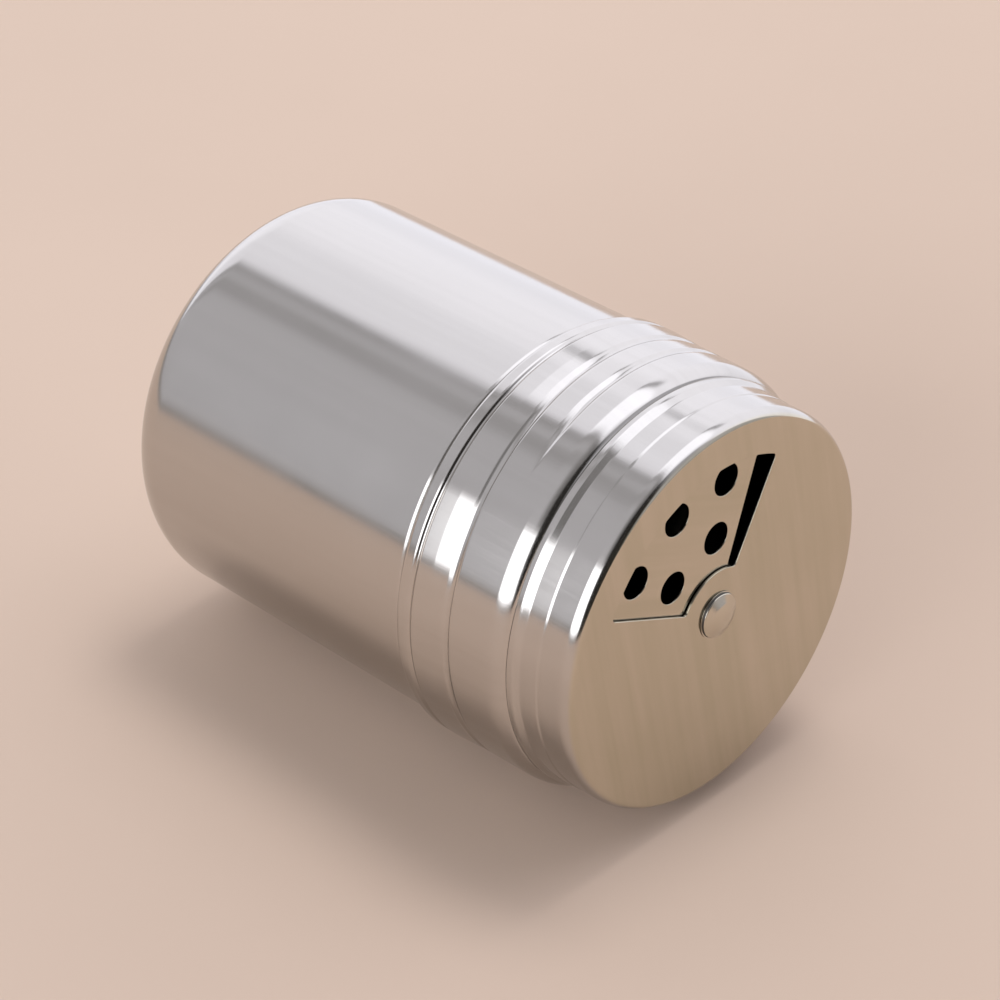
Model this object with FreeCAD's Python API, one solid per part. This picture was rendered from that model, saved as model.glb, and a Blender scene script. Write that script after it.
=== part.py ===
import FreeCAD, Part
import os
from math import pi, sin, cos, tan, acos, radians, hypot
from FreeCAD import Vector

# Stainless screw-lid spice shaker, standing on its base.
# Row frame: millimetres, +Z up along the shaker's axis, origin at the centre of the base on the resting plane.
# Angles are measured from +X towards +Y, looking down on the lid.
# Five pieces: a drawn jar with a rolled neck thread, a pressed screw lid whose top plate holds the shaking holes and
# the pouring hole, a pressed cover with a window that turns on top of it, the rivet that is their pivot, and the
# dished spring washer under the lid that keeps the cover where it is turned to.

# ---------------------------------------------------------------- driving dimensions
H_TOTAL = 90.0          # base to the top face of the rotating cover (without the rivet head)
SHEET_JAR = 0.45        # sheet of the drawn jar
SHEET_LID = 0.40        # sheet of the two lid pressings

# jar
R_BODY = 32.0           # outside radius of the jar
R_BASE_CORNER = 7.3     # outside corner radius between wall and base
R_KICKUP = 21.0         # radius of the shallow recess pressed into the base
D_KICKUP = 0.8          # its depth
Z_SHOULDER = 59.1       # top of the small shoulder under the lid
R_NECK = 30.9           # outside radius of the neck
Z_MOUTH = 78.0          # top of the mouth
W_LIP = 1.75            # the lip is folded inwards this far
H_LIP = 1.1             # and hangs this far down inside

# screw thread, rolled in the sheet of jar and lid, right-handed
PITCH = 4.85            # lift per turn
R_THREAD_NECK = 31.82   # crest of the rib that stands out of the neck
A_THREAD_NECK = -32.0   # direction of its start (deg)
Z_THREAD_NECK = 66.7    # height of its start
TURNS_NECK = 1.35
R_THREAD_LID = 31.42    # crest of the rib that stands into the lid
A_THREAD_LID = -198.0
Z_THREAD_LID = 66.895
TURNS_LID = 1.30
D_GROOVE = 0.28         # depth of the groove that the rolling leaves outside, behind that rib
RIB_FOOT = 2.0          # width of a rib at its foot
RIB_CREST = 0.9         # and at its crest

# screw lid
Z_PLATE = 89.50         # top face of the perforated plate, which lies under the cover
R_LID_WALL = 29.7       # outside radius of the wall inside the cover
R_PLATE_ROUND = 1.1
Z_LID_SHOULDER = 79.3   # top of the lid's shoulder, just under the cover's lip
R_BAND_TOP = 32.58      # thread band, top ...
R_BAND = 32.70          # ... and bottom, at the thread's lower turn
R_BAND_LOW = 33.02      # lower end of the slightly flared lower band
Z_CREASE = 61.95        # pressed crease above the rolled edge
R_CREASE = 32.60
R_EDGE = 33.0           # rolled edge
Z_LID_EDGE = 59.4       # lower edge of the lid

# rotating cover
R_RIM = 30.6            # outside radius at the top
R_SKIRT = 30.98         # below the small step
R_FLARE = 31.46         # lip
Z_STEP = 84.2
Z_COVER_EDGE = 79.5     # end of the lip, curled back in over the lid's shoulder

# dispensing pattern
A_HOLES = -113.3        # middle of the five-hole group
D_HOLE = 4.9
R_HOLES_OUT = 21.7
R_HOLES_IN = 12.8
STEP_OUT = 27.2         # spacing of the outer three (deg)
STEP_IN = 44.2          # spacing of the inner two (deg)
A_POUR_0 = -237.0       # pouring hole in the plate, from ... to ... (deg)
A_POUR_1 = -155.7
A_WIN_0 = -165.0        # window in the cover, from ... to ... (deg)
A_WIN_1 = -71.6
R_WIN_IN = 7.3
R_WIN_OUT = 24.2
R_CORNER = 0.6

# pivot
R_SHANK = 1.60
R_PIVOT_HOLE = 1.66     # running fit on the shank
R_HEAD = 3.65
H_HEAD = 1.35
HEAD_GAP = 0.08         # the head stands just off the cover
R_TAIL = 2.9
H_TAIL = 0.7
R_WASHER = 4.6
T_WASHER = 0.3
DISH = 0.5
WASHER_GAP = 0.04


# ---------------------------------------------------------------- profile helpers
def offset_path(pts, t, side):
    """Path parallel to pts (x, z, fillet radius) at distance t, to its right (side +1) or left (side -1)."""
    seg = []
    for (x0, z0, _), (x1, z1, _) in zip(pts[:-1], pts[1:]):
        d = hypot(x1 - x0, z1 - z0)
        dx, dz = (x1 - x0) / d, (z1 - z0) / d
        seg.append((x0 + side * dz * t, z0 - side * dx * t, dx, dz))
    out = [(seg[0][0], seg[0][1], 0.0)]
    for i in range(1, len(pts) - 1):
        ax, az, adx, adz = seg[i - 1]
        bx, bz, bdx, bdz = seg[i]
        turn = adx * bdz - adz * bdx
        k = ((bx - ax) * bdz - (bz - az) * bdx) / turn
        r = pts[i][2]
        if r > 0:
            r = r - t if turn * side < 0 else r + t
        out.append((ax + adx * k, az + adz * k, max(r, 0.0)))
    out.append((seg[-1][0] + pts[-1][0] - pts[-2][0], seg[-1][1] + pts[-1][1] - pts[-2][1], 0.0))
    return out


def line(a, b):
    return Part.makeLine(Vector(a[0], 0, a[1]), Vector(b[0], 0, b[1]))


def path_edges(pts):
    """Edges through pts in the XZ half-plane, with tangent arcs at the points that have a fillet radius."""
    edges, cur = [], (pts[0][0], pts[0][1])
    for i in range(1, len(pts)):
        x, z, r = pts[i]
        if r > 0 and i < len(pts) - 1:
            px, pz = pts[i - 1][:2]
            nx, nz = pts[i + 1][:2]
            d0, d1 = hypot(px - x, pz - z), hypot(nx - x, nz - z)
            u0, u1 = ((px - x) / d0, (pz - z) / d0), ((nx - x) / d1, (nz - z) / d1)
            ang = acos(max(-1.0, min(1.0, u0[0] * u1[0] + u0[1] * u1[1])))
            k, c = r / tan(ang / 2), r / sin(ang / 2)
            bl = hypot(u0[0] + u1[0], u0[1] + u1[1])
            bis = ((u0[0] + u1[0]) / bl, (u0[1] + u1[1]) / bl)
            a, b = (x + u0[0] * k, z + u0[1] * k), (x + u1[0] * k, z + u1[1] * k)
            m = (x + bis[0] * (c - r), z + bis[1] * (c - r))
            if hypot(a[0] - cur[0], a[1] - cur[1]) > 1e-6:
                edges.append(line(cur, a))
            edges.append(Part.Arc(Vector(a[0], 0, a[1]), Vector(m[0], 0, m[1]), Vector(b[0], 0, b[1])).toShape())
            cur = b
        elif hypot(x - cur[0], z - cur[1]) > 1e-6:
            edges.append(line(cur, (x, z)))
            cur = (x, z)
    return edges


def revolve(edges):
    face = Part.Face(Part.Wire(Part.__sortEdges__(edges)))
    s = face.revolve(Vector(0, 0, 0), Vector(0, 0, 1), 360)
    s = s if s.ShapeType == "Solid" else s.Solids[0]
    if s.Volume < 0:
        s.reverse()
    return s


def closed(pts):
    """Solid of revolution of a closed outline."""
    return revolve(path_edges(pts) + [line(pts[-1], pts[0])])


def sheet(pts, t, side):
    """Pressed sheet of thickness t: pts is its outside path, the metal lies on the given side of it."""
    inner = offset_path(pts, t, side)
    return revolve(path_edges(pts) + path_edges(inner) + [line(pts[0], inner[0]), line(pts[-1], inner[-1])])


def helix_rib(z0, turns, a0, r_foot, r_crest):
    """Rolled rib with a trapezoid section along the thread's helix, rising from (a0, z0)."""
    wf, wc = RIB_FOOT / 2, RIB_CREST / 2
    helix = Part.makeHelix(PITCH, PITCH * turns, 0.5 * (r_foot + r_crest))
    prof = Part.makePolygon([Vector(r_foot, 0, -wf), Vector(r_foot, 0, wf), Vector(r_crest, 0, wc),
                             Vector(r_crest, 0, -wc), Vector(r_foot, 0, -wf)])
    s = Part.Wire(helix).makePipeShell([prof], True, True)
    if s.ShapeType != "Solid":
        s = Part.Solid(s.Shells[0])
    if s.Volume < 0:
        s.reverse()
    s.rotate(Vector(0, 0, 0), Vector(0, 0, 1), a0)
    s.translate(Vector(0, 0, z0))
    return s


def helix_groove(z0, turns, a0, r_bottom, r_out):
    """Cutter for the shallow outside groove behind a rolled rib, of the same helix."""
    wb, wo = 0.30, 0.30 + 1.6 * (r_out - r_bottom)
    helix = Part.makeHelix(PITCH, PITCH * turns, 0.5 * (r_bottom + r_out))
    prof = Part.makePolygon([Vector(r_bottom, 0, -wb), Vector(r_bottom, 0, wb), Vector(r_out, 0, wo),
                             Vector(r_out, 0, -wo), Vector(r_bottom, 0, -wb)])
    s = Part.Wire(helix).makePipeShell([prof], True, True)
    if s.ShapeType != "Solid":
        s = Part.Solid(s.Shells[0])
    if s.Volume < 0:
        s.reverse()
    s.rotate(Vector(0, 0, 0), Vector(0, 0, 1), a0)
    s.translate(Vector(0, 0, z0))
    return s


def sector(r0, r1, a0, a1, z0, z1, rc):
    """Ring sector from angle a0 to a1 with rounded corners, to cut a window."""
    def P(r, a):
        return Vector(r * cos(radians(a)), r * sin(radians(a)), z0)
    am = 0.5 * (a0 + a1)
    e = [Part.Arc(P(r1, a0), P(r1, am), P(r1, a1)).toShape(), Part.makeLine(P(r1, a1), P(r0, a1)),
         Part.Arc(P(r0, a1), P(r0, am), P(r0, a0)).toShape(), Part.makeLine(P(r0, a0), P(r1, a0))]
    s = Part.Face(Part.Wire(e)).extrude(Vector(0, 0, z1 - z0))
    upright = [d for d in s.Edges if len(d.Vertexes) == 2
               and hypot(d.Vertexes[0].X - d.Vertexes[1].X, d.Vertexes[0].Y - d.Vertexes[1].Y) < 1e-6]
    return s.makeFillet(rc, upright)


def drill(r, x, y, z0, z1):
    return Part.makeCylinder(r, z1 - z0, Vector(x, y, z0), Vector(0, 0, 1))


def one(s):
    s = s.removeSplitter()
    assert len(s.Solids) == 1, len(s.Solids)
    s = s.Solids[0]
    assert s.isValid()
    return s


# ---------------------------------------------------------------- jar body
# from the centre of the base, round the corner, up the wall, in at the shoulder, up the neck and into the folded lip
jar_path = [
    (0.0, D_KICKUP, 0), (R_KICKUP, D_KICKUP, 0.9), (R_KICKUP + 1.0, 0.0, 0.9), (R_BODY, 0.0, R_BASE_CORNER),
    (R_BODY, Z_SHOULDER - 0.15, 0.75), (R_NECK, Z_SHOULDER, 0.5), (R_NECK, Z_MOUTH, 0.85),
    (R_NECK - W_LIP, Z_MOUTH, 0.5), (R_NECK - W_LIP, Z_MOUTH - H_LIP, 0),
]
jar = sheet(jar_path, SHEET_JAR, -1)
jar = jar.fuse(helix_rib(Z_THREAD_NECK, TURNS_NECK, A_THREAD_NECK, R_NECK - 0.2, R_THREAD_NECK))
jar_body = one(jar)

# ---------------------------------------------------------------- screw lid
# from the pivot hole, out over the plate, down the hidden wall, out at the shoulder and over its wide rounding, down the
# thread band, the flared lower band, the crease and the rolled edge
lid_path = [
    (R_PIVOT_HOLE, Z_PLATE, 0), (R_LID_WALL, Z_PLATE, R_PLATE_ROUND), (R_LID_WALL, Z_LID_SHOULDER, 0.5),
    (31.5, Z_LID_SHOULDER, 1.0), (R_BAND_TOP, Z_LID_SHOULDER - 1.44, 4.0), (R_BAND, 68.9, 0.8), (R_BAND - 0.04, 68.0, 0.8),
    (32.89, 65.0, 12.0), (R_BAND_LOW, Z_CREASE + 0.65, 0.3), (R_CREASE, Z_CREASE, 0.3), (R_EDGE, Z_CREASE - 0.5, 0.5),
    (R_EDGE, Z_LID_EDGE, 0.8), (R_EDGE - 0.85, Z_LID_EDGE, 0),
]
lid = sheet(lid_path, SHEET_LID, +1)
lid = lid.fuse(helix_rib(Z_THREAD_LID, TURNS_LID, A_THREAD_LID, R_BAND - 0.12, R_THREAD_LID))
lid = lid.cut(helix_groove(Z_THREAD_LID + 0.12, TURNS_LID - 0.05, A_THREAD_LID + 9, R_BAND - D_GROOVE, R_BAND + 0.45))
for r, step, ks in ((R_HOLES_OUT, STEP_OUT, (-1, 0, 1)), (R_HOLES_IN, STEP_IN, (-0.5, 0.5))):
    for k in ks:
        a = radians(A_HOLES + k * step)
        lid = lid.cut(drill(D_HOLE / 2, r * cos(a), r * sin(a), Z_PLATE - 2, Z_PLATE + 1))
lid = lid.cut(sector(R_WIN_IN, R_WIN_OUT, A_POUR_0, A_POUR_1, Z_PLATE - 2, Z_PLATE + 1, R_CORNER))
screw_lid = one(lid)

# ---------------------------------------------------------------- rotating cover
# from the pivot hole over the face, round the rim, down the skirt with its small step, out to the lip and back in
cover_path = [
    (R_PIVOT_HOLE, H_TOTAL, 0), (R_RIM - 0.85, H_TOTAL, 0.9), (R_RIM, H_TOTAL - 1.0, 2.2), (R_RIM + 0.08, Z_STEP + 0.25, 0.6),
    (R_SKIRT, Z_STEP - 0.25, 0.6), (R_SKIRT + 0.07, 81.8, 0.6), (R_FLARE, 81.15, 0.6), (R_FLARE, 80.4, 0.5),
    (R_FLARE - 0.26, Z_COVER_EDGE, 0),
]
cover = sheet(cover_path, SHEET_LID, +1)
cover = cover.cut(sector(R_WIN_IN, R_WIN_OUT, A_WIN_0, A_WIN_1, H_TOTAL - 2, H_TOTAL + 1, R_CORNER))
rotating_cover = one(cover)

# ---------------------------------------------------------------- pivot rivet and its dished spring washer
z_head = H_TOTAL + HEAD_GAP
z_under = Z_PLATE - SHEET_LID - WASHER_GAP          # where the washer's rim bears
z_tail = z_under - T_WASHER - DISH - WASHER_GAP     # where the peened tail bears
pivot_rivet = one(closed([
    (0.0, z_head + H_HEAD, 0), (R_HEAD - 0.2, z_head + H_HEAD - 0.35, 0.85), (R_HEAD, z_head, 0), (R_SHANK, z_head, 0),
    (R_SHANK, z_tail, 0), (R_TAIL, z_tail, 0), (R_TAIL - 0.35, z_tail - H_TAIL, 0.3), (0.0, z_tail - H_TAIL - 0.1, 0),
]))
spring_washer = one(closed([
    (R_PIVOT_HOLE + 0.04, z_under - DISH, 0), (R_WASHER, z_under, 0), (R_WASHER, z_under - T_WASHER, 0),
    (R_PIVOT_HOLE + 0.04, z_under - DISH - T_WASHER, 0),
]))

# ---------------------------------------------------------------- export
os.makedirs("parts", exist_ok=True)
for name, shape in (("jar_body", jar_body), ("screw_lid", screw_lid), ("rotating_cover", rotating_cover),
                    ("pivot_rivet", pivot_rivet), ("spring_washer", spring_washer)):
    shape.exportStep("parts/%s.step" % name)
    print("%-15s volume %9.2f mm3, faces %d" % (name, shape.Volume, len(shape.Faces)))
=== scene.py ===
from math import pi, sin, cos, tan, atan2, ceil, radians, degrees, hypot, sqrt

import bpy
import numpy as np
from mathutils import Matrix, Vector
from mathutils.geometry import delaunay_2d_cdt


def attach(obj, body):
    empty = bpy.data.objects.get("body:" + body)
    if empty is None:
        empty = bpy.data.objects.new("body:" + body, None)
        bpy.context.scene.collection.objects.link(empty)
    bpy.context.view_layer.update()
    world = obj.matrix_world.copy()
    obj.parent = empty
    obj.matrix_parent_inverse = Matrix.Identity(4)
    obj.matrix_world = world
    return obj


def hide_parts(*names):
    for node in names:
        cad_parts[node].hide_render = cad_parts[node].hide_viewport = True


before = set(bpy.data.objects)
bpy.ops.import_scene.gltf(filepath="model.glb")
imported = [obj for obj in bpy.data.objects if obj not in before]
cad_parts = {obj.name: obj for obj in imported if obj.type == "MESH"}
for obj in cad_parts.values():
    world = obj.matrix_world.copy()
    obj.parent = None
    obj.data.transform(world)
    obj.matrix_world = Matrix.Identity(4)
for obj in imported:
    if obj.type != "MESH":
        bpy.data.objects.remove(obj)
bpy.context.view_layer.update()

MM = 0.001
N = 384                 # segments round the axis

# ---------------------------------------------------------------- dimensions, mm (the same as in the CAD source)
H_TOTAL = 90.0
SHEET_JAR, SHEET_LID = 0.45, 0.40
Z_PLATE = 89.5
PITCH = 4.85
A_HOLES, D_HOLE = -113.3, 4.9
R_HOLES_OUT, STEP_OUT = 21.7, 27.2
R_HOLES_IN, STEP_IN = 12.8, 44.2
A_POUR = (-237.0, -155.7)
A_WIN = (-165.0, -71.6)
R_WIN = (7.3, 24.2)
R_CORNER = 0.6
R_PIVOT_HOLE = 1.66

JAR = [(0, 0.8, 0), (21, 0.8, 0.9), (22, 0, 0.9), (32.0, 0, 7.3), (32.0, 58.95, 0.75), (30.9, 59.1, 0.5),
       (30.9, 78, 0.85), (29.15, 78, 0.5), (29.15, 76.9, 0)]
LID = [(R_PIVOT_HOLE, 89.5, 0), (29.7, 89.5, 1.1), (29.7, 79.3, 0.5), (31.5, 79.3, 1.0), (32.58, 77.86, 4.0),
       (32.70, 68.9, 0.8), (32.66, 68.0, 0.8), (32.89, 65.0, 12.0), (33.02, 62.6, 0.3), (32.60, 61.95, 0.3),
       (33.0, 61.45, 0.5), (33.0, 59.4, 0.8), (32.0, 59.4, 0)]
COVER = [(R_PIVOT_HOLE, 90.0, 0), (29.84, 90.0, 0.9), (30.69, 89.0, 2.2), (30.69, 84.42, 0.3), (30.80, 84.16, 0.3),
         (30.86, 81.25, 0.5), (31.38, 80.32, 0.45), (31.42, 80.0, 0.3), (31.40, 79.255, 0)]
THREAD_NECK = (66.7, 1.35, -32.0)       # height of its start, turns, direction of its start
THREAD_LID = (66.895, 1.30, -198.0)
R_THREAD_NECK, R_THREAD_LID = 31.82, 31.42
D_GROOVE = 0.26


# ---------------------------------------------------------------- profile helpers
def unit(v):
    return v / max(1e-12, hypot(v[0], v[1]))


def offset_path(pts, t, side):
    """Path parallel to pts (r, z, fillet) at distance t, to its right (side +1) or left (side -1)."""
    seg = []
    for (x0, z0, _), (x1, z1, _) in zip(pts[:-1], pts[1:]):
        d = hypot(x1 - x0, z1 - z0)
        dx, dz = (x1 - x0) / d, (z1 - z0) / d
        seg.append((x0 + side * dz * t, z0 - side * dx * t, dx, dz))
    out = [(seg[0][0], seg[0][1], 0.0)]
    for i in range(1, len(pts) - 1):
        ax, az, adx, adz = seg[i - 1]
        bx, bz, bdx, bdz = seg[i]
        turn = adx * bdz - adz * bdx
        k = ((bx - ax) * bdz - (bz - az) * bdx) / turn
        r = pts[i][2]
        if r > 0:
            r = r - t if turn * side < 0 else r + t
        out.append((ax + adx * k, az + adz * k, max(r, 0.05)))
    out.append((seg[-1][0] + pts[-1][0] - pts[-2][0], seg[-1][1] + pts[-1][1] - pts[-2][1], 0.0))
    return out


def trace(pts, side, step=1.0, fine=None):
    """Samples a filleted path. Gives points (r, z) and outside normals; the metal is on the given side of the path.
    fine is a list of (z low, z high, step) where straight runs are sampled more closely."""
    P = [np.array(p[:2], float) for p in pts]
    out = [(P[0], unit(P[1] - P[0]))]

    def run(a, b, d):
        length = float(np.linalg.norm(b - a))
        if length < 1e-7:
            return
        s = step
        for lo, hi, fs in fine or ():
            if max(a[1], b[1]) > lo and min(a[1], b[1]) < hi:
                s = min(s, fs)
        n = max(1, ceil(length / s))
        for i in range(1, n + 1):
            out.append((a + (b - a) * i / n, d))

    cur = P[0]
    for i in range(1, len(P)):
        d = unit(P[i] - P[i - 1])
        r = pts[i][2]
        if i < len(P) - 1 and r > 0:
            e = unit(P[i + 1] - P[i])
            turn = atan2(d[0] * e[1] - d[1] * e[0], d[0] * e[0] + d[1] * e[1])
            k = r * tan(abs(turn) / 2)
            a, b = P[i] - d * k, P[i] + e * k
            run(cur, a, d)
            sg = 1.0 if turn > 0 else -1.0
            c = a + sg * r * np.array([-d[1], d[0]])
            n = max(3, ceil(abs(turn) / radians(6)), ceil(r * abs(turn) / 0.35))
            for j in range(1, n + 1):
                t = turn * j / n
                ct, st = cos(t), sin(t)
                w = a - c
                tg = np.array([d[0] * ct - d[1] * st, d[0] * st + d[1] * ct])
                out.append((c + np.array([w[0] * ct - w[1] * st, w[0] * st + w[1] * ct]), tg))
            cur = b
        else:
            run(cur, P[i], d)
            cur = P[i]
    p = np.array([o[0] for o in out])
    t = np.array([o[1] for o in out])
    return p, np.stack([-side * t[:, 1], side * t[:, 0]], 1)


class Shell:
    """Collects vertices with their normals, and faces, for one mesh."""

    def __init__(self):
        self.v, self.n, self.f, self.m, self.count = [], [], [], [], 0

    def add(self, v, n):
        start = self.count
        self.v.append(np.asarray(v, float).reshape(-1, 3))
        self.n.append(np.asarray(n, float).reshape(-1, 3))
        self.count += len(self.v[-1])
        return start

    def faces(self, f, mat=0):
        self.f.append(f)
        self.m.append(np.full(len(f), mat))

    def quads(self, a, b, mat=0):
        """Quads between two closed rings of vertex numbers."""
        a, b = np.asarray(a), np.asarray(b)
        a1, b1 = np.roll(a, -1), np.roll(b, -1)
        self.faces(np.stack([a, a1, b1, b], 1), mat)

    def build(self, name):
        v, n = np.concatenate(self.v), np.concatenate(self.n)
        # each face turned so that it looks the way its own normals do
        faces = []
        for f in self.f:
            q = v[f]
            w = np.cross(q[:, 2] - q[:, 0], q[:, 3] - q[:, 1]) if f.shape[1] == 4 else np.cross(q[:, 1] - q[:, 0], q[:, 2] - q[:, 0])
            ok = (w * n[f].sum(1)).sum(1) > 0
            faces.extend(np.where(ok[:, None], f, f[:, ::-1]).tolist())
        me = bpy.data.meshes.new(name)
        me.from_pydata((v * MM).tolist(), [], faces)
        me.update()
        me.polygons.foreach_set("use_smooth", np.ones(len(me.polygons), bool))
        me.polygons.foreach_set("material_index", np.concatenate(self.m).astype(np.int32))
        n /= np.linalg.norm(n, axis=1)[:, None]
        me.normals_split_custom_set_from_vertices(n.tolist())
        ob = bpy.data.objects.new(name, me)
        bpy.context.scene.collection.objects.link(ob)
        return ob


TH = np.arange(N) * 2 * pi / N
CS, SN = np.cos(TH), np.sin(TH)


def lathe(shell, p, nrm, shift=None, poles=(False, False), dark=None):
    """Revolves the sampled profile. shift(r, z, th, k) gives a radial displacement; k is the sample's number.
    poles says whether the first and the last sample lie on the axis. Bands between the heights in dark that lie beyond
    its radius get the second material. Returns the first and last ring's vertex numbers."""
    rings = []
    for i in range(len(p)):
        r, z = p[i]
        if (i == 0 and poles[0]) or (i == len(p) - 1 and poles[1]):
            rings.append([shell.add([[0, 0, z]], [[0, 0, nrm[i][1]]])])
            continue
        if shift is None:
            rr, nx, nz, nt = np.full(N, r), nrm[i][0], nrm[i][1], 0.0
        else:
            e = 0.02
            h = shift(r, z, TH, i)
            hz = (shift(r, z + e, TH, i) - shift(r, z - e, TH, i)) / (2 * e)
            ha = (shift(r, z, TH + 0.002, i) - shift(r, z, TH - 0.002, i)) / (0.004 * r)
            rr = r + h
            sg = 1.0 if nrm[i][0] > 0 else -1.0
            w = abs(nrm[i][0])
            nx, nz, nt = nrm[i][0], nrm[i][1] - sg * hz * w, -sg * ha * w
        v = np.stack([rr * CS, rr * SN, np.full(N, z)], 1)
        n = np.stack([nx * CS - nt * SN, nx * SN + nt * CS, np.zeros(N) + nz], 1)
        s = shell.add(v, n)
        rings.append(list(range(s, s + N)))
    for i, (a, b) in enumerate(zip(rings[:-1], rings[1:])):
        r, z = (p[i] + p[i + 1]) / 2
        # the band given by dark gets the second material: near-black, a painted shadow of the gap under the rivet head
        mat = 1 if dark and dark[0] < z < dark[1] and r > dark[2] else 0
        if len(a) == 1:
            shell.faces(np.array([[a[0], b[j], b[(j + 1) % N]] for j in range(N)]))
        elif len(b) == 1:
            shell.faces(np.array([[b[0], a[j], a[(j + 1) % N]] for j in range(N)]))
        else:
            shell.quads(a, b, mat)
    return rings[0], rings[-1]


# ---------------------------------------------------------------- plates with punched holes
def circle(cx, cy, r, m):
    a = np.arange(m) * 2 * pi / m

    def at(off):
        return np.stack([cx + (r + off) * np.cos(a), cy + (r + off) * np.sin(a)], 1)

    return at, np.stack([np.cos(a), np.sin(a)], 1)


def sector(r0, r1, a0, a1, rc):
    """Ring sector with rounded corners; at(off) is its outline, grown by off all round. Also the outline's outward normals."""
    a0, a1 = radians(a0), radians(a1)
    pts, nrm, base = [], [], []
    am = 0.5 * (a0 + a1)

    def corner(rad, sgn_r, edge, sgn_a, t0, t1):
        # centre of the corner's rounding: rc inside the arc and rc inside the straight side
        rr = rad - sgn_r * rc
        dl = asin_(rc / rr)
        ang = edge - sgn_a * dl
        c = np.array([rr * cos(ang), rr * sin(ang)])
        for i in range(9):
            t = t0 + (t1 - t0) * i / 8
            u = np.array([cos(t), sin(t)])
            base.append(c + rc * u)
            nrm.append(u)
        return ang

    def arc(rad, b0, b1, sgn, m):
        for i in range(1, m):
            t = b0 + (b1 - b0) * i / m
            base.append(np.array([rad * cos(t), rad * sin(t)]))
            nrm.append(sgn * np.array([cos(t), sin(t)]))

    def side(m):
        # straight run to the next corner, filled in afterwards
        base.append(None)
        nrm.append(m)

    # outer arc from a0 to a1, down the side a1, inner arc back, up the side a0
    o0 = a0 + asin_(rc / (r1 - rc))
    o1 = a1 - asin_(rc / (r1 - rc))
    i0 = a0 + asin_(rc / (r0 + rc))
    i1 = a1 - asin_(rc / (r0 + rc))
    corner(r1, 1, a0, -1, a0 - pi / 2, o0)
    arc(r1, o0, o1, 1, 96)
    corner(r1, 1, a1, 1, o1, a1 + pi / 2)
    side(24)
    corner(r0, -1, a1, 1, a1 + pi / 2, i1 + pi)
    arc(r0, i1, i0, -1, 64)
    corner(r0, -1, a0, -1, i0 - pi, a0 - pi / 2)
    side(24)
    out_p, out_n = [], []
    for k, b in enumerate(base):
        if b is None:
            p0, p1, n0 = base[k - 1], base[(k + 1) % len(base)], nrm[k - 1]
            for i in range(1, nrm[k]):
                out_p.append(p0 + (p1 - p0) * i / nrm[k])
                out_n.append(n0)
        else:
            out_p.append(b)
            out_n.append(nrm[k])
    out_p, out_n = np.array(out_p), np.array(out_n)

    def at(off):
        return out_p + off * out_n

    return at, out_n


def asin_(x):
    return np.arcsin(x)


def inside(poly, q):
    """Which of the points q lie in the polygon."""
    x, y = q[:, 0], q[:, 1]
    c = np.zeros(len(q), bool)
    for (x0, y0), (x1, y1) in zip(poly, np.roll(poly, -1, 0)):
        if y0 == y1:
            continue
        c ^= ((y0 > y) != (y1 > y)) & (x < (x1 - x0) * (y - y0) / (y1 - y0) + x0)
    return c


def plate(shell, ring_top, ring_bottom, r_flat, z_top, z_bottom, holes, edge=0.10, wall=0):
    """Flat plate between two rings of the lathe, with holes whose edges are slightly rounded by the punch."""
    steps = [(edge * (1 - sin(a)), edge * (1 - cos(a)), cos(a), sin(a)) for a in np.linspace(0, pi / 2, 5)]
    tops, bottoms, outlines = [], [], []
    for at, m in holes:
        rings = []
        for off, dz, up, inw in steps:
            q = at(off)
            v = np.column_stack([q, np.full(len(q), z_top - dz)])
            n = np.column_stack([-m * inw, np.full(len(q), up)])
            s = shell.add(v, n)
            rings.append(list(range(s, s + len(q))))
        for off, dz, up, inw in reversed(steps):
            q = at(off)
            v = np.column_stack([q, np.full(len(q), z_bottom + dz)])
            n = np.column_stack([-m * inw, np.full(len(q), -up)])
            s = shell.add(v, n)
            rings.append(list(range(s, s + len(q))))
        for k, (a, b) in enumerate(zip(rings[:-1], rings[1:])):
            # where wall is given, the lower rounding of each hole's edge takes that material: near-black, a painted
            # shade of the gap under the edge
            shell.quads(a, b, wall if 5 <= k <= 7 else 0)
        tops.append(rings[0])
        bottoms.append(rings[-1])
        outlines.append(at(edge))
    # one triangulation for both faces
    pts = [np.stack([r_flat * CS, r_flat * SN], 1)] + outlines
    loops, start = [], 0
    for q in pts:
        loops.append(list(range(start, start + len(q))))
        start += len(q)
    allp = np.concatenate(pts)
    edges = [(lp[i], lp[(i + 1) % len(lp)]) for lp in loops for i in range(len(lp))]
    out = delaunay_2d_cdt([Vector(p) for p in allp.tolist()], edges, [], 0, 1e-7)
    overts, ofaces, orig = out[0], out[2], out[3]
    back = [o[0] for o in orig]
    tri = np.array([[back[i] for i in f] for f in ofaces])
    mid = allp[tri].mean(1)
    keep = np.ones(len(tri), bool)
    for q in pts[1:]:
        keep &= ~inside(q, mid)
    area = np.abs(np.cross(allp[tri[:, 1]] - allp[tri[:, 0]], allp[tri[:, 2]] - allp[tri[:, 0]]))
    keep &= area > 1e-9
    tri = tri[keep]
    top = np.array(list(ring_top) + [i for r in tops for i in r])
    bot = np.array(list(ring_bottom) + [i for r in bottoms for i in r])
    shell.faces(top[tri])
    shell.faces(bot[tri])


def smooth(lo, hi, x):
    t = np.clip((x - lo) / (hi - lo), 0, 1)
    return t * t * (3 - 2 * t)


def thread(z0, turns, a0, half, flat, taper0, taper1):
    """Height (0 to 1) of a rolled thread over a point of the wall: a band along a right-handed helix from (a0, z0)."""
    a0 = radians(a0)

    def g(z, th):
        best = np.zeros(np.shape(th))
        for k in range(-1, 3):
            along = np.mod(th - a0, 2 * pi) + 2 * pi * k
            u = along / (2 * pi)
            d = np.abs(z - (z0 + PITCH * u))
            w = smooth(-0.0, taper0, u) * (1 - smooth(turns - taper1, turns, u))
            h = (1 - smooth(flat, half, d / np.maximum(0.35 + 0.65 * w, 1e-3))) * w
            best = np.maximum(best, h)
        return best

    return g


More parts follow.
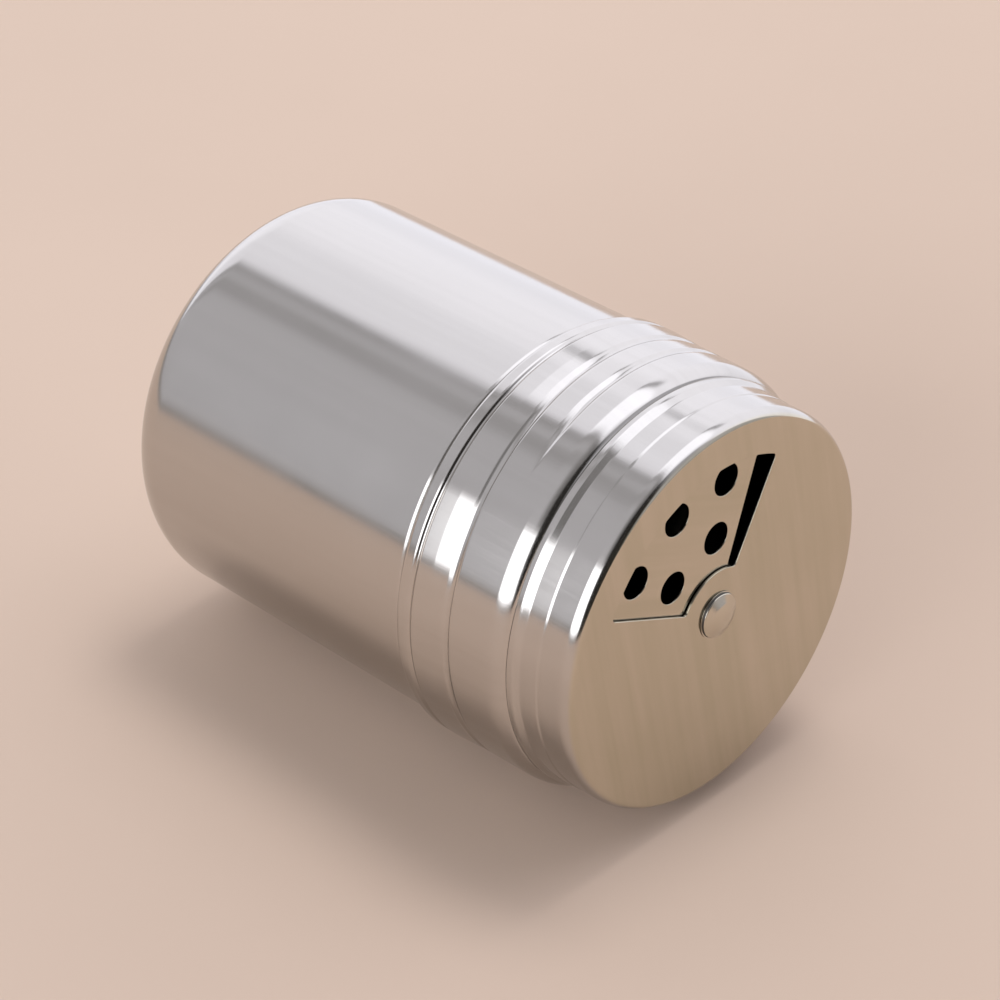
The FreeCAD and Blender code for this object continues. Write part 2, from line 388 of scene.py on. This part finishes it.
# ---------------------------------------------------------------- jar
neck = thread(*THREAD_NECK, 1.05, 0.3, 0.06, 0.06)
jar_in = offset_path(JAR, SHEET_JAR, -1)
outline = JAR[:-1] + [(29.15, 76.9, 0.15)] + [(jar_in[-1][0], 76.9, 0.15)] + jar_in[-2:0:-1] + [(0, 0.8 + SHEET_JAR, 0)]
p, n = trace(outline, -1, step=1.5, fine=[(62, 77, 0.22)])


def neck_shift(r, z, th, k):
    if r < 30.2 or z < 62.5 or z > 76.5:
        return np.zeros(np.shape(th))
    return (R_THREAD_NECK - 30.9) * neck(z, th)


sh = Shell()
lathe(sh, p, n, neck_shift, poles=(True, True))
jar_ob = sh.build("jar_drawn_shell")

# ---------------------------------------------------------------- screw lid
lid_rib = thread(*THREAD_LID, 1.0, 0.40, 0.06, 0.075)
lid_groove = thread(*THREAD_LID, 0.88, 0.15, 0.06, 0.075)
lid_in = offset_path(LID, SHEET_LID, +1)
R_LID_FLAT = 28.6
outline = ([(R_LID_FLAT, 89.5, 0)] + LID[1:-1] + [(32.0, 59.4, 0.15), (32.0, 59.8, 0.15)]
           + lid_in[-2:0:-1] + [(R_LID_FLAT, 89.1, 0)])
p, n = trace(outline, +1, step=1.5, fine=[(59, 79, 0.22)])
half_way = int(np.argmin(p[:, 1]))


def lid_shift(r, z, th, k):
    if z < 65.5 or z > 74.8 or r < 31.5:
        return np.zeros(np.shape(th))
    if k < half_way:
        return -D_GROOVE * lid_groove(z, th)
    return -(r - R_THREAD_LID) * lid_rib(z, th)


sh = Shell()
top, bottom = lathe(sh, p, n, lid_shift)
holes = [circle(0, 0, R_PIVOT_HOLE, 48)]
for r, step, ks in ((R_HOLES_OUT, STEP_OUT, (-1, 0, 1)), (R_HOLES_IN, STEP_IN, (-0.5, 0.5))):
    for k in ks:
        a = radians(A_HOLES + k * step)
        holes.append(circle(r * cos(a), r * sin(a), D_HOLE / 2, 72))
holes.append(sector(*R_WIN, *A_POUR, R_CORNER))
plate(sh, top, bottom, R_LID_FLAT, 89.5, 89.1, holes)
lid_ob = sh.build("screw_lid_pressing")

# ---------------------------------------------------------------- rotating cover
cover_in = offset_path(COVER, SHEET_LID, +1)
R_COVER_FLAT = 29.1
outline = ([(R_COVER_FLAT, 90.0, 0)] + COVER[1:-1] + [(31.40, 79.255, 0.06), (cover_in[-1][0], 79.35, 0.12)]
           + cover_in[-2:0:-1] + [(R_COVER_FLAT, 89.6, 0)])
p, n = trace(outline, +1, step=0.8)
sh = Shell()
top, bottom = lathe(sh, p, n)
# the window's lower edge gets the second material: painted shade where the gap under the cover is
plate(sh, top, bottom, R_COVER_FLAT, 90.0, 89.6, [circle(0, 0, R_PIVOT_HOLE, 48), sector(*R_WIN, *A_WIN, R_CORNER)], 0.11, 1)
cover_ob = sh.build("rotating_cover_pressing")

# ---------------------------------------------------------------- rivet and washer
z_head = H_TOTAL + 0.08
z_under = Z_PLATE - SHEET_LID - 0.04
z_tail = z_under - 0.3 - 0.5 - 0.04
p, n = trace([(0.0, z_head + 1.28, 0), (1.6, z_head + 1.20, 4.0), (3.40, z_head + 0.46, 0.20), (3.48, z_head + 0.08, 0.04),
              (3.66, z_head + 0.07, 0.04), (3.66, z_head, 0.03),
              (1.60, z_head, 0.12), (1.60, z_tail, 0.12), (2.9, z_tail, 0.15),
              (2.55, z_tail - 0.7, 0.3), (0.0, z_tail - 0.8, 0)], +1, step=0.5)
sh = Shell()
# the head's side wall is painted near-black as the shadow of the gap under it
lathe(sh, p, n, poles=(True, True), dark=(z_head + 0.09, z_head + 0.38, 3.2))
rivet_ob = sh.build("pivot_rivet_peened")

q = [(1.70, z_under - 0.5, 0.1), (4.6, z_under, 0.12), (4.6, z_under - 0.3, 0.12), (1.70, z_under - 0.8, 0.1)]
m = ((q[0][0] + q[1][0]) / 2, (q[0][1] + q[1][1]) / 2, 0)
p, n = trace([m] + q[1:] + [q[0], m], +1, step=0.5)
sh = Shell()
first, last = lathe(sh, p[:-1], n[:-1])
sh.quads(last, first)
washer_ob = sh.build("spring_washer_dished")


# ---------------------------------------------------------------- materials
def new_material(name):
    m = bpy.data.materials.new(name)
    m.use_nodes = True
    nt = m.node_tree
    nt.nodes.clear()
    return m, nt


def node(nt, kind, inputs=None, **props):
    nd = nt.nodes.new(kind)
    for k, v in props.items():
        setattr(nd, k, v)
    for k, v in (inputs or {}).items():
        if isinstance(v, bpy.types.NodeSocket):
            nt.links.new(v, nd.inputs[k])
        else:
            nd.inputs[k].default_value = v
    return nd


def mapped(nt, value, lo, hi, out_lo, out_hi):
    nd = node(nt, "ShaderNodeMapRange", {"Value": value, "From Min": lo, "From Max": hi, "To Min": out_lo, "To Max": out_hi})
    return nd.outputs["Result"]


def steel(name, tone, dark, rough, grain="length", seed=0.0, bump=0.25, face=None):
    """Drawn stainless sheet: a fine grain, faint cloudy patches in colour and gloss, and a few rubbed streaks."""
    m, nt = new_material(name)
    co = node(nt, "ShaderNodeTexCoord").outputs["Object"]
    def noise(v):
        return node(nt, "ShaderNodeTexNoise", {"Vector": v, "Scale": 1.0, "Detail": 3.0, "Roughness": 0.6}).outputs["Fac"]

    def around_axis(k_around, k_z, off):
        flat = node(nt, "ShaderNodeVectorMath", {0: co, 1: (1, 1, 0)}, operation="MULTIPLY").outputs[0]
        around = node(nt, "ShaderNodeVectorMath", {0: flat}, operation="NORMALIZE").outputs[0]
        a = node(nt, "ShaderNodeVectorMath", {0: around, "Scale": k_around}, operation="SCALE").outputs[0]
        b = node(nt, "ShaderNodeVectorMath", {0: co, 1: (0, 0, k_z), 2: (off, off, off)}, operation="MULTIPLY_ADD").outputs[0]
        return noise(node(nt, "ShaderNodeVectorMath", {0: a, 1: b}, operation="ADD").outputs[0])

    def straight(angle, kx, ky, off):
        c = node(nt, "ShaderNodeMapping", {"Vector": co, "Rotation": (0, 0, radians(angle)),
                                           "Location": (off, off, off)}).outputs[0]
        return noise(node(nt, "ShaderNodeVectorMath", {0: c, 1: (kx, ky, 60.0)}, operation="MULTIPLY").outputs[0])

    if grain == "length":
        fine, wide = around_axis(150.0, 60.0, seed), around_axis(16.0, 9.0, seed + 4.0)
    else:
        fine, wide = straight(grain, 3600.0, 70.0, seed), straight(grain, 420.0, 18.0, seed + 4.0)
    if face:
        # above the height face[0] the top face has straight grain and a darker, warmer tone: a painted reflection of
        # the shaded floor
        zc = node(nt, "ShaderNodeSeparateXYZ", {0: co}).outputs[2]
        top = mapped(nt, zc, face[0] - 0.0004, face[0], 0.0, 1.0)
        if grain == "length":
            fine = node(nt, "ShaderNodeMix", {"Factor": top, 2: fine, 3: straight(-20.0, 3600.0, 70.0, seed)}).outputs[0]
            wide = node(nt, "ShaderNodeMix", {"Factor": top, 2: wide, 3: straight(-20.0, 420.0, 18.0, seed)}).outputs[0]
    cloud = node(nt, "ShaderNodeTexNoise", {"Vector": co, "Scale": 42.0, "Detail": 4.0, "Roughness": 0.55,
                                            "Distortion": 0.4}).outputs["Fac"]
    rub = node(nt, "ShaderNodeTexNoise", {"Vector": co, "Scale": 900.0, "Detail": 2.0}).outputs["Fac"]
    fac = node(nt, "ShaderNodeMath", {0: mapped(nt, wide, 0.3, 0.7, 0.0, 0.6), 1: mapped(nt, cloud, 0.3, 0.7, 0.0, 0.4)},
               operation="ADD").outputs[0]
    colour = node(nt, "ShaderNodeMix", {"Factor": fac, 6: (*dark, 1), 7: (*tone, 1)}, data_type="RGBA").outputs[2]
    if face:
        top_face_shaded = node(nt, "ShaderNodeMix", {"Factor": fac, 6: (*face[1], 1), 7: (*face[2], 1)}, data_type="RGBA").outputs[2]
        colour = node(nt, "ShaderNodeMix", {"Factor": top, 6: colour, 7: top_face_shaded}, data_type="RGBA").outputs[2]
    r1 = mapped(nt, cloud, 0.3, 0.7, rough * 0.85, rough * 1.2)
    r2 = mapped(nt, fine, 0.25, 0.75, -rough * 0.12, rough * 0.12)
    ro = node(nt, "ShaderNodeMath", {0: r1, 1: r2}, operation="ADD").outputs[0]
    h = node(nt, "ShaderNodeMath", {0: fine, 1: mapped(nt, rub, 0.3, 0.7, 0.0, 0.15)}, operation="ADD").outputs[0]
    bp = node(nt, "ShaderNodeBump", {"Strength": bump, "Distance": 0.000006, "Height": h}).outputs["Normal"]
    bs = node(nt, "ShaderNodeBsdfPrincipled", {"Base Color": colour, "Roughness": ro, "Normal": bp, "Metallic": 1.0})
    out = node(nt, "ShaderNodeOutputMaterial", {"Surface": bs.outputs[0]})
    return m


# darker, warmer tones of the top faces: painted shade standing for the shaded floor they reflect
TOP_FACE_PAINTED_SHADE = ((0.490, 0.458, 0.352), (0.590, 0.534, 0.440))
mat_jar = steel("steel_jar", (0.536, 0.513, 0.483), (0.509, 0.487, 0.457), 0.15, seed=1.3, bump=0.15)
mat_lid = steel("steel_lid", (0.550, 0.527, 0.497), (0.505, 0.482, 0.452), 0.13, seed=7.1, face=(0.0894, *TOP_FACE_PAINTED_SHADE))
mat_cover = steel("steel_cover", (0.545, 0.522, 0.492), (0.500, 0.478, 0.448), 0.13, grain=35.0, seed=3.7,
                  face=(0.0899, *TOP_FACE_PAINTED_SHADE))
mat_rivet = steel("steel_rivet", (0.600, 0.555, 0.462), (0.530, 0.488, 0.402), 0.16, grain=10.0, seed=5.2)
mat_washer = steel("steel_washer", (0.560, 0.545, 0.520), (0.500, 0.485, 0.460), 0.22, grain=70.0, seed=9.9)
# near-black steel on the lower edge of the cover's window and on the rivet head's side wall: painted shade of the gaps
# there
mat_painted_shade = steel("steel_edge_painted_shade", (0.110, 0.104, 0.098), (0.070, 0.066, 0.062), 0.42, grain=80.0, seed=2.2, bump=0.5)
cover_ob.data.materials.append(mat_cover)
cover_ob.data.materials.append(mat_painted_shade)
rivet_ob.data.materials.append(mat_rivet)
rivet_ob.data.materials.append(mat_painted_shade)

for ob, mat, nd, body, slot in ((jar_ob, mat_jar, "jar_body", "jar", "jar_steel"),
                                (lid_ob, mat_lid, "screw_lid", "lid", "lid_steel"),
                                (cover_ob, mat_cover, "rotating_cover", "cover", "cover_steel"),
                                (rivet_ob, mat_rivet, "pivot_rivet", "lid_pivot", "rivet_steel"),
                                (washer_ob, mat_washer, "spring_washer", "lid_pivot", "washer_steel")):
    if not ob.data.materials:
        ob.data.materials.append(mat)
    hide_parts(nd)
    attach(ob, body)

# ---------------------------------------------------------------- floor
# In the photograph the shaker lies on its side, so the floor touches its side, leaning on the base corner and the lid's
# bead. Seen from below it lets the eye through, so that it hides nothing in other views.
UP = np.array([-0.731, -0.682, 0.0])
UP /= np.linalg.norm(UP)
SIDE = np.array([-UP[1], UP[0], 0.0]) * -1.0        # to the right and far side of the photograph
SIDE = np.array([-0.682, 0.731, 0.0])
SIDE /= np.linalg.norm(SIDE)
FA, FB = -UP * 32.0 + np.array([0, 0, 7.3]), -UP * 33.0 + np.array([0, 0, 62.5])
along = (FB - FA) / np.linalg.norm(FB - FA)
floor_n = np.cross(along, SIDE)
floor_n = floor_n if floor_n @ UP > 0 else -floor_n
side2 = np.cross(floor_n, along)
mid = (FA + FB) / 2 - floor_n * 0.15 - side2 * (260.0 if side2 @ SIDE > 0 else -260.0)
K, RF = 160, 600.0
ang = np.arange(K) * 2 * pi / K
fv = [mid + RF * (cos(a) * along + sin(a) * side2) for a in ang]
me = bpy.data.meshes.new("floor")
ring = list(range(K))
if np.cross(fv[1] - fv[0], fv[2] - fv[0]) @ floor_n < 0:
    ring = ring[::-1]
me.from_pydata([tuple(v * MM) for v in fv], [], [ring])
me.update()
floor = bpy.data.objects.new("floor", me)
bpy.context.scene.collection.objects.link(floor)
m, nt = new_material("floor_pale")
co = node(nt, "ShaderNodeTexCoord").outputs["Object"]
fn = node(nt, "ShaderNodeTexNoise", {"Vector": co, "Scale": 14.0, "Detail": 3.0}).outputs["Fac"]
col = node(nt, "ShaderNodeMix", {"Factor": fn, 6: (0.602, 0.474, 0.379, 1), 7: (0.631, 0.498, 0.400, 1)}, data_type="RGBA").outputs[2]
df = node(nt, "ShaderNodeBsdfDiffuse", {"Color": col, "Roughness": 0.4})
tr = node(nt, "ShaderNodeBsdfTransparent")
gm = node(nt, "ShaderNodeNewGeometry")
mx = node(nt, "ShaderNodeMixShader", {0: gm.outputs["Backfacing"], 1: df.outputs[0], 2: tr.outputs[0]})
node(nt, "ShaderNodeOutputMaterial", {"Surface": mx.outputs[0]})
me.materials.append(m)


# ---------------------------------------------------------------- studio light
# A tent of soft light round the object: grey on the near side, white on the far side, with two soft boxes, dark seams
# overhead and a dark strip at table height.
def dome(name, radius, centre, nu, nv):
    th = np.linspace(0, 2 * pi, nu, endpoint=False)
    ph = np.linspace(0, pi, nv + 1)[1:-1]
    v = [(0, 0, 1)] + [(sin(p_) * cos(t), sin(p_) * sin(t), cos(p_)) for p_ in ph for t in th] + [(0, 0, -1)]
    v = np.array(v)
    f = [(0, 1 + (j + 1) % nu, 1 + j) for j in range(nu)]
    for i in range(len(ph) - 1):
        a, b = 1 + i * nu, 1 + (i + 1) * nu
        f += [(a + j, a + (j + 1) % nu, b + (j + 1) % nu, b + j) for j in range(nu)]
    last = len(v) - 1
    a = 1 + (len(ph) - 1) * nu
    f += [(last, a + j, a + (j + 1) % nu) for j in range(nu)]
    me = bpy.data.meshes.new(name)
    me.from_pydata((v * radius + np.array(centre)).tolist(), [], f)
    me.update()
    return me, v


def light(d):
    """Radiance of the tent, as RGB, in the directions d (unit vectors in the row frame)."""
    up, side, ax = d @ UP, d @ SIDE, d[:, 2]
    elev = np.degrees(np.arcsin(np.clip(up, -1, 1)))
    # a: angle round the axis from straight up; positive towards the near left side
    a = -np.degrees(np.arctan2(side, up))
    near = smooth(-1.5, 1.5, a)
    grey = np.array([0.715, 0.712, 0.762])
    white = np.array([1.31, 1.32, 1.45])
    g = grey * (0.98 - 0.05 * smooth(30, 80, a))[:, None]
    bright = 1.0 + 0.14 * smooth(-25, -40, a)[:, None] * smooth(-85, -65, a)[:, None]
    c = g * near[:, None] + white * bright * (1 - near[:, None])

    def put(c, w, rgb):
        return c * (1 - w[:, None]) + np.array(rgb) * w[:, None]

    # the room behind the camera is dark on the near side
    w = 0.75 * near * smooth(0.08, 0.45, ax)
    c = put(c, w, (0.14, 0.135, 0.13))
    # dark seams overhead
    c = put(c, 0.50 * smooth(8.5, 12.5, a) * (1 - smooth(16, 24, a)), (0.36, 0.35, 0.36))
    c = put(c, 0.62 * smooth(-2.5, 0.5, a) * (1 - smooth(2, 8, a)), (0.33, 0.32, 0.33))
    # soft boxes, beside the lid's end
    w = smooth(52, 57, a) * (1 - smooth(88, 92, a)) * smooth(-0.50, -0.45, ax) * (1 - smooth(0.58, 0.68, ax))
    c = put(c, w, (3.0, 3.05, 3.25))
    w = smooth(-37, -34, a) * (1 - smooth(-8, 1, a)) * smooth(-0.50, -0.43, ax) * (1 - smooth(0.3, 0.5, ax))
    c = put(c, 0.75 * w, (2.1, 2.14, 2.36))
    w = smooth(-45, -42.5, a) * (1 - smooth(-38.5, -36.5, a)) * smooth(-0.53, -0.5, ax) * (1 - smooth(-0.2, 0.1, ax))
    c = put(c, 0.8 * w, (0.30, 0.30, 0.31))
    # dark strip at table height, near side and round the lid's end
    w = 0.8 * (1 - smooth(0.3, 1.8, elev)) * (1 - smooth(0.15, 0.5, side))
    c = put(c, w, (0.30, 0.28, 0.27))
    # dark card at the lid's end
    w = smooth(0.47, 0.54, ax) * (1 - 0.42 * smooth(-0.05, 0.2, side))
    c = put(c, w, (0.04, 0.038, 0.036))
    return c


me, dirs = dome("studio_tent", 3.0, (0, 0, 0.045), 720, 360)
rgb = light(dirs)
at = me.color_attributes.new("tent", "FLOAT_COLOR", "POINT")
at.data.foreach_set("color", np.column_stack([rgb, np.ones(len(rgb))]).astype(np.float32).ravel())
tent = bpy.data.objects.new("studio_tent", me)
bpy.context.scene.collection.objects.link(tent)
m, nt = new_material("tent_light")
aa = node(nt, "ShaderNodeAttribute", attribute_name="tent", attribute_type="GEOMETRY")
em = node(nt, "ShaderNodeEmission", {"Color": aa.outputs["Color"], "Strength": 1.0})
node(nt, "ShaderNodeOutputMaterial", {"Surface": em.outputs[0]})
m.cycles.emission_sampling = "NONE"
me.materials.append(m)
tent.visible_camera = False

# one soft lamp high on the far side: it gives the floor its shadow
lamp = bpy.data.objects.new("soft_lamp", bpy.data.lights.new("soft_lamp", "AREA"))
lamp.data.shape, lamp.data.size, lamp.data.energy = "DISK", 0.52, 6.0
lamp.data.color = (1.0, 0.985, 0.985)
aim = Vector((UP * cos(radians(15)) + SIDE * sin(radians(15)) + np.array([0, 0, 0.0])).tolist()).normalized()
lamp.location = aim * 1.5 + Vector((0, 0, 0.045))
lamp.rotation_mode = "QUATERNION"
lamp.rotation_quaternion = aim.to_track_quat("Z", "Y")
lamp.visible_glossy = False
bpy.context.scene.collection.objects.link(lamp)

world = bpy.data.worlds.new("studio")
world.use_nodes = True
world.node_tree.nodes["Background"].inputs["Color"].default_value = (0.74, 0.68, 0.63, 1)
world.node_tree.nodes["Background"].inputs["Strength"].default_value = 1.0
bpy.context.scene.world = world

# ---------------------------------------------------------------- camera, at the photograph's angle
cam = bpy.data.objects.new("camera", bpy.data.cameras.new("camera"))
bpy.context.scene.collection.objects.link(cam)
right = Vector((-0.472396, 0.509062, 0.719512))
upv = Vector((-0.881386, -0.272842, -0.385636))
back = Vector((0.0, -0.816341, 0.577570))
rot = Matrix((right, upv, back)).transposed()
cam.matrix_world = Matrix.Translation(Vector((0.000260, -0.384489, 0.320052))) @ rot.to_4x4()
cam.data.lens = 115.248
cam.data.sensor_width = 36.0
cam.data.clip_start, cam.data.clip_end = 0.01, 20.0
cam.data.dof.use_dof = False
bpy.context.scene.camera = cam

bpy.context.scene.view_settings.view_transform = "Standard"
bpy.context.scene.view_settings.look = "None"
